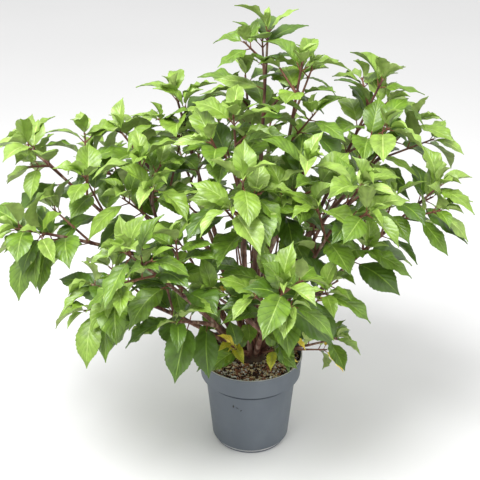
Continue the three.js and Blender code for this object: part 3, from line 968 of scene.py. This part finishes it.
def make_leaf_piece(name, leaves, nodes, materials, rng):
    sets = leaf_arrays(leaves, rng)
    points, faces, kinds = blade_mesh(sets)
    per_leaf = points.shape[1]
    tints = deal_tints(leaves, rng)
    by_kind = np.array([range(len(GREENS + TURNED)), LATERAL_PAINTED_SHADE_TINTS, MIDRIB_TINTS, UNDER_TINTS])
    slots = by_kind[kinds[None], tints[:, None]]
    heap = Heap()
    starts = np.arange(len(leaves)) * per_leaf
    heap.add(points.reshape(-1, 3), (faces[None] + starts[:, None, None]).reshape(-1, 4),
             slots.ravel())
    piece = heap.build(name, materials)
    mark_rims(piece.data, per_leaf, len(COLUMNS), len(leaf_grid()[0]))
    return dress(piece, nodes), sets


def make_foliage(masses):
    """All the leaves, in pieces of whole masses, and their stalks."""
    materials = [leaf_material(name, colour) for name, colour in (*GREENS, *TURNED, VEIN)]
    materials.append(leaf_material(*UNDERSIDE, gloss=0.6))
    rng = np.random.default_rng(11)
    groups = [[]]
    for mass in masses:
        total = sum(len(m["leaves"]) for m in groups[-1]) + len(mass["leaves"])
        if groups[-1] and total > LEAVES_IN_PIECE:
            groups.append([])
        groups[-1].append(mass)
    stalks = Heap()
    for i, group in enumerate(groups):
        leaves = [leaf for mass in group for leaf in mass["leaves"]]
        _, sets = make_leaf_piece(f"leaf_blades_{i + 1}", leaves, [m["name"] for m in group],
                                  materials, rng)
        add_stalks(stalks, leaves, sets)
    reds = [wood_material("stalk_red", (84, 44, 40), (122, 72, 56), 200, 0.5),
            wood_material("stalk_green", (120, 134, 58), (150, 160, 80), 200, 0.5)]
    piece = stalks.build("leaf_stalks", reds)
    dress(piece, [mass["name"] for mass in masses])


def add_stalks(heap, leaves, sets):
    sides = 5
    t = np.linspace(0, STALK * 1.25, 5)
    radius = between(*STALK_RADIUS, np.linspace(0, 1, len(t)))
    for i, leaf in enumerate(leaves):
        line = Line(leaf["root"], sets["control"][i], leaf["tip"])
        slim = min(1.0, leaf["size"] / 90)
        heap.add_tube(tube_points(line, t, radius * slim, sides), sides, int(leaf["age"] < 1))


# ---------------------------------------------------------------- canes, stems and stock


def bark(t, length, sides, rng, depth):
    """Ridges and hollows along a limb, as a factor on its radius."""
    along = (t * length)[:, None]
    around = 2 * np.pi * np.arange(sides) / sides
    relief = np.zeros((len(t), sides))
    for lobes, pace in ((2, 0.03), (3, 0.07), (5, 0.11), (6, 0.35)):
        phase, slant = rng.uniform(0, 2 * np.pi), rng.uniform(-1, 1)
        relief += np.sin(lobes * around + slant * pace * along + phase) / lobes
        relief += np.sin(pace * 3 * along + lobes * phase) / (2 * lobes)
    return 1 + depth * relief


def swollen(t, line, places, height, spread):
    """The rings at which leaves and shoots sit, as an addition to the radius."""
    along = t * line.length
    rise = [height * np.exp(-(((along - place * line.length) / spread) ** 2)) for place in places]
    return sum(rise, np.zeros(len(t)))


def add_limb(heap, line, start, stop, radius_at, places, rng, sides, step, depth, slot=0):
    count = max(3, int(line.length * (stop - start) / step))
    t = np.linspace(start, stop, count)
    radius = radius_at(t) * BARK_THICKER + swollen(t, line, places, 0.9, 3.0)
    heap.add_tube(tube_points(line, t, radius[:, None] * bark(t, line.length, sides, rng, depth),
                              sides), sides, slot)


def make_canes(limbs):
    rng = np.random.default_rng(21)
    heap = Heap()
    for limb in limbs:
        line = limb["line"]
        places = 1 - np.arange(60, line.length, 58) / line.length
        add_limb(heap, line, 0, limb["leaves"] + 6 / line.length, limb["radius_at"], places, rng,
                 14, 5, 0.07)
    bark_wood = wood_material("cane_bark", (58, 35, 31), (110, 76, 62), 60, painted_highlight=PAINTED_BARK_HIGHLIGHT)
    piece = heap.build("cane_bark", [bark_wood])
    dress(piece, ["cane_" + limb["name"] for limb in limbs])


def make_stems(masses):
    """The leafy stems and their side shoots, reddish and smooth."""
    rng = np.random.default_rng(22)
    heap = Heap()
    for mass in masses:
        limb = mass["limb"]
        line = limb["line"]
        places = [1 - back / line.length for back, _ in stem_nodes(mass)]
        add_limb(heap, line, limb["leaves"], 1, limb["radius_at"], places, rng, 10, 5, 0.04)
        for shoot in mass["shoots"]:
            places = [1 - SHOOT["pair_back"] / shoot.length]
            add_limb(heap, shoot, 0, 1, taper(TWIG["root"], TWIG["tip"]), places, rng, 8, 7,
                     0.03, 1)
    reds = [wood_material("stem_red", (62, 36, 36), (108, 70, 60), 90, 0.5, PAINTED_BARK_HIGHLIGHT),
            wood_material("shoot_red", (78, 46, 42), (120, 82, 64), 120, 0.48)]
    piece = heap.build("leafy_stems", reds)
    dress(piece, [mass["name"] for mass in masses])


def make_stock():
    """The short woody stock: knobbly, and flared on the mix."""
    rng = np.random.default_rng(23)
    foot = MIX["top"] - 3
    top = MIX["top"] + STOCK["height"]
    line = Line(polar(0, 0, foot), polar(0, 0, (foot + top) / 2), polar(0, 0, top))
    t = np.linspace(0, 1, 30)
    radius = np.interp(t, (0, 0.3, 0.6, 0.9, 1), (STOCK["flare"], STOCK["waist"], STOCK["waist"],
                                                 STOCK["waist"] - 2, STOCK["waist"] - 7))
    heap = Heap()
    heap.add_tube(tube_points(line, t, radius[:, None] * bark(t, line.length, 56, rng, 0.13), 56), 56)
    piece = heap.build("stock_bark", [wood_material("stock_bark", (44, 35, 28), (92, 74, 60), 45)])
    dress(piece, ["stock"])


# ---------------------------------------------------------------- pot and mix


def inner_outline(gap):
    wall, ledge = POT["wall"] + gap, POT["height"] - POT["collar"]
    return [
        (0, POT["floor"] + gap), (POT["base"] - wall, POT["floor"] + gap),
        (POT["foot"] - wall, POT["foot_height"]), (POT["wall_top"] - wall, ledge + gap),
        (POT["collar_bottom"] - wall, ledge + wall),
    ]


def pot_outline():
    height, rim, ledge = POT["height"], POT["rim"], POT["height"] - POT["collar"]
    outer = [
        (0, 0), (POT["base"] - 6, 0), (POT["base"], 0), (POT["base"], BEAD["low"]),
        (POT["base"] + BEAD["proud"], BEAD["low"] + 1), (POT["base"] + BEAD["proud"], BEAD["high"] - 1),
        (POT["base"] + 0.8, BEAD["high"]),
        (POT["foot"], POT["foot_height"]), (POT["wall_top"] - 1, ledge - RECESS["high"]),
        (POT["wall_top"] - RECESS["deep"] - 1, ledge - RECESS["high"] + 1.5),
        (POT["wall_top"] - RECESS["deep"], ledge),
        (POT["collar_bottom"], ledge), (POT["collar_top"], height - POT["lip"]),
        (rim, height - POT["lip"] + 1), (rim, height), (rim - EDGE["wide"], height),
        (rim - EDGE["wide"], height - EDGE["deep"]), (rim - POT["wall"] - 0.6, height - EDGE["deep"] - 2),
    ]
    return outer + inner_outline(0)[::-1]


def cut_drains(piece):
    cutter_heap = Heap()
    for i in range(POT["drains"]):
        x, y, _ = polar(360 * (i + 0.5) / POT["drains"], POT["drain_ring"], 0)
        line = Line(np.array([x, y, -3.0]), np.array([x, y, 2.0]), np.array([x, y, 7.0]))
        t = np.array([0.0, 1.0])
        cutter_heap.add_tube(tube_points(line, t, np.full(2, POT["drain_radius"]), 24), 24)
    cutter = cutter_heap.build("drain_cutter", [], smooth=False)
    cut = piece.modifiers.new("drains", "BOOLEAN")
    cut.operation = "DIFFERENCE"
    cut.object = cutter
    cut.solver = "EXACT"
    evaluated = piece.evaluated_get(bpy.context.evaluated_depsgraph_get())
    made = bpy.data.meshes.new_from_object(evaluated)
    piece.modifiers.clear()
    piece.data = made
    bpy.data.objects.remove(cutter)


def make_pot():
    heap = Heap()
    points, quads, triangles = revolve(rounded(pot_outline(), 0.9), 160)
    # The rim's top faces and the bead's faces are coloured near-white: a painted highlight on the grey
    # plastic.
    reach, rise = np.hypot(*points.T[:2])[quads].min(axis=1), points[quads][:, :, 2]
    bead_painted_highlight = (reach > POT["base"] + 0.9) & (rise.max(axis=1) < BEAD["high"])
    painted_highlight_faces = (rise.min(axis=1) > POT["height"] - 0.6) | bead_painted_highlight
    heap.add(None, triangles)
    heap.add(points, quads, painted_highlight_faces.astype(int))
    # The painted highlight's colour, far paler than the plastic.
    edge = Material("pot_painted_highlight", 0.4, 0.5)
    edge.colours(edge.noise(30, 3), [(0.3, (168, 170, 172)), (0.7, (206, 204, 202))])
    piece = heap.build("pot_shell", [plastic_material(), edge.material])
    cut_drains(piece)
    crease(piece, 50)
    dress(piece, ["pot"])


def crease(piece, degrees):
    """Edges sharper than the angle are shaded as creases."""
    piece.data.set_sharp_from_angle(angle=math.radians(degrees))


def mix_radius():
    share = (MIX["top"] - POT["height"] + POT["collar"]) / POT["collar"]
    return between(POT["collar_bottom"], POT["collar_top"], share) - POT["wall"] - GAP


def mix_height(x, y):
    """The mix's uneven top: a low dome with small rises and hollows."""
    share = np.clip((np.hypot(x, y) - MIX["flat"]) / (mix_radius() - MIX["flat"]), 0, 1)
    uneven = 1.2 * np.sin(x / 9 + 1.1) * np.cos(y / 12) + 0.8 * np.sin(x / 21 - y / 17)
    return MIX["top"] - MIX["dome"] * share + uneven - 2.0


def make_mix():
    """The filled pot: one body whose top is uneven, and the loose bits on it."""
    rng = np.random.default_rng(31)
    segments = 140
    radius = mix_radius()
    rings = [(r, MIX["top"]) for r in np.linspace(radius, 0, 42)]
    points, quads, triangles = revolve(inner_outline(GAP) + rings, segments)
    on_top = points[:, 2] >= MIX["top"] - 0.01
    points[on_top, 2] = mix_height(points[on_top, 0], points[on_top, 1])
    points[on_top, 2] += rng.normal(0, 0.6, on_top.sum())
    heap = Heap()
    heap.add(None, triangles)
    heap.add(points, quads)
    dark = chip_material("mix_peat", (66, 46, 36), 0.95)
    dress(heap.build("mix_body", [dark]), ["potting_mix"])
    make_bits(rng, radius)
    make_crumbs()


CORNERS = np.array([(x, y, z) for z in (-1, 1) for y in (-1, 1) for x in (-1, 1)], float) / 2
BIT_FACES = np.array([(0, 2, 3, 1), (4, 5, 7, 6), (0, 1, 5, 4), (2, 6, 7, 3), (0, 4, 6, 2),
                      (1, 3, 7, 5)])
BITS = [
    ("bit_peat", (62, 44, 37), 700, (5, 13), 0.6),
    ("bit_bark", (146, 102, 80), 500, (5, 13), 0.4),
    ("bit_fibre", (228, 198, 160), 900, (4, 12), 0.34),
    ("bit_pale", (255, 249, 230), 1200, (3.5, 8), 0.55),
]
# Crumbs stuck to the pot: bearing, height and size of each little group.
CRUMBS = [(247.4, 154, 2.8), (257, 145, 1.7), (252, 149, 1.4)]
CRUMB = {"count": 5, "turn": 0.9, "rise": 1.5, "thick": 1.2}


def make_bits(rng, radius):
    """Crumbs of peat, bark chips, fibres and pale grains, lying on the mix."""
    heap = Heap()
    for slot, (_, _, count, sizes, slim) in enumerate(BITS):
        for _ in range(count):
            reach, bearing = (radius - 5) * math.sqrt(rng.uniform(0.05, 1)), rng.uniform(0, 360)
            x, y, _ = polar(bearing, reach, 0)
            length = rng.uniform(*sizes)
            shape = CORNERS * (length, length * slim * rng.uniform(0.6, 1.3), length * 0.35)
            shape = shape + rng.normal(0, length * 0.06, shape.shape)
            turn = random_turn(rng)
            centre = (x, y, mix_height(x, y) + rng.uniform(0.2, 1.6))
            heap.add(shape @ turn.T + centre, BIT_FACES, slot)
    materials = [chip_material(name, colour) for name, colour, *_ in BITS]
    piece = heap.build("mix_bits", materials, smooth=False)
    dress(piece, ["potting_mix"])


def make_crumbs():
    """A few crumbs of the mix that stick to the pot's wall."""
    rng = np.random.default_rng(41)
    heap = Heap()
    for bearing, height, size in CRUMBS:
        for _ in range(CRUMB["count"]):
            turn, z = bearing + CRUMB["turn"] * rng.normal(), height + CRUMB["rise"] * rng.normal()
            share = (z - POT["foot_height"]) / (POT["height"] - POT["collar"] - POT["foot_height"])
            place = polar(turn, between(POT["foot"], POT["wall_top"], share), z)
            shape = CORNERS * (size, size * rng.uniform(0.5, 1), CRUMB["thick"])
            shape = shape + rng.normal(0, size * 0.1, shape.shape)
            heap.add(shape @ np.array([polar(turn + 90, 1, 0), UP, polar(turn, 1, 0)]) + place,
                     BIT_FACES)
    piece = heap.build("pot_crumbs", [chip_material("crumb", (56, 54, 54))], smooth=False)
    dress(piece, ["potting_mix"])


def random_turn(rng):
    """A turn with any bearing and a modest tilt."""
    yaw, pitch, roll = rng.uniform(0, 2 * np.pi), rng.normal(0, 0.35), rng.normal(0, 0.35)
    cz, sz, cx, sx = math.cos(yaw), math.sin(yaw), math.cos(pitch), math.sin(pitch)
    cy, sy = math.cos(roll), math.sin(roll)
    about_z = np.array([[cz, -sz, 0], [sz, cz, 0], [0, 0, 1]])
    about_x = np.array([[1, 0, 0], [0, cx, -sx], [0, sx, cx]])
    about_y = np.array([[cy, 0, sy], [0, 1, 0], [-sy, 0, cy]])
    return about_z @ about_x @ about_y


# ---------------------------------------------------------------- camera, floor and light

CAMERA = {"place": (-0.0268, -2.07, 1.608), "pitch": 63.2, "lens": 73.35, "sensor": 36}
FLOOR_SIZE = 30
SKY = 0.92


def make_camera():
    camera = bpy.data.cameras.new("camera")
    camera.lens = CAMERA["lens"]
    camera.sensor_width = CAMERA["sensor"]
    eye = bpy.data.objects.new("camera", camera)
    eye.location = CAMERA["place"]
    eye.rotation_euler = (math.radians(CAMERA["pitch"]), 0, 0)
    bpy.context.scene.collection.objects.link(eye)
    bpy.context.scene.camera = eye


def make_floor():
    half = FLOOR_SIZE / 2 / MM
    heap = Heap()
    corners = [(-half, -half, 0), (half, -half, 0), (half, half, 0), (-half, half, 0)]
    heap.add(np.array(corners, float), np.array([[0, 1, 2, 3]]))
    made = Material("studio_floor", 0.9, 0.1)
    made.colours(made.noise(0.6, 2), [(0.3, (224, 224, 224)), (0.7, (228, 228, 228))])
    floor = heap.build("studio_floor", [made.material])


def add_area(name, place, aim, size, watts):
    light = bpy.data.lights.new(name, "AREA")
    light.energy = watts
    light.size = size
    lamp = bpy.data.objects.new(name, light)
    lamp.location = place
    lamp.rotation_euler = direction(place, aim)
    bpy.context.scene.collection.objects.link(lamp)


def direction(place, aim):
    """The turns that point a lamp's -Z from its place to its aim."""
    x, y, z = (a - p for a, p in zip(aim, place))
    return (math.atan2(math.hypot(x, y), -z), 0, math.atan2(-x, y))


def make_light():
    world = bpy.data.worlds.new("studio")
    world.use_nodes = True
    background = world.node_tree.nodes["Background"]
    background.inputs["Color"].default_value = (1, 1, 1, 1)
    background.inputs["Strength"].default_value = SKY
    bpy.context.scene.world = world
    add_area("key", (-0.9, -1.3, 3.8), (0, 0, 0.6), 1.7, 165)
    add_area("fill", (2.6, -1.2, 2.0), (0, 0, 0.6), 2.5, 14)
    bpy.context.scene.view_settings.view_transform = "Standard"


# ---------------------------------------------------------------- the shrub

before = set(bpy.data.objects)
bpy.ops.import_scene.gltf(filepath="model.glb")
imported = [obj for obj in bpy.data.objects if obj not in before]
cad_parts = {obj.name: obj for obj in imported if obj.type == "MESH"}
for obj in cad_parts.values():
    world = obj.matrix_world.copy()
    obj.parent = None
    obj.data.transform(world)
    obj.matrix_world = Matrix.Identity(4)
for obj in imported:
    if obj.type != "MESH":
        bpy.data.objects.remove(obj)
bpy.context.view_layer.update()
make_camera()
limbs, masses = grow_shrub()
make_pot()
make_mix()
make_stock()
make_canes(limbs)
make_stems(masses)
make_foliage(masses)
make_floor()
make_light()
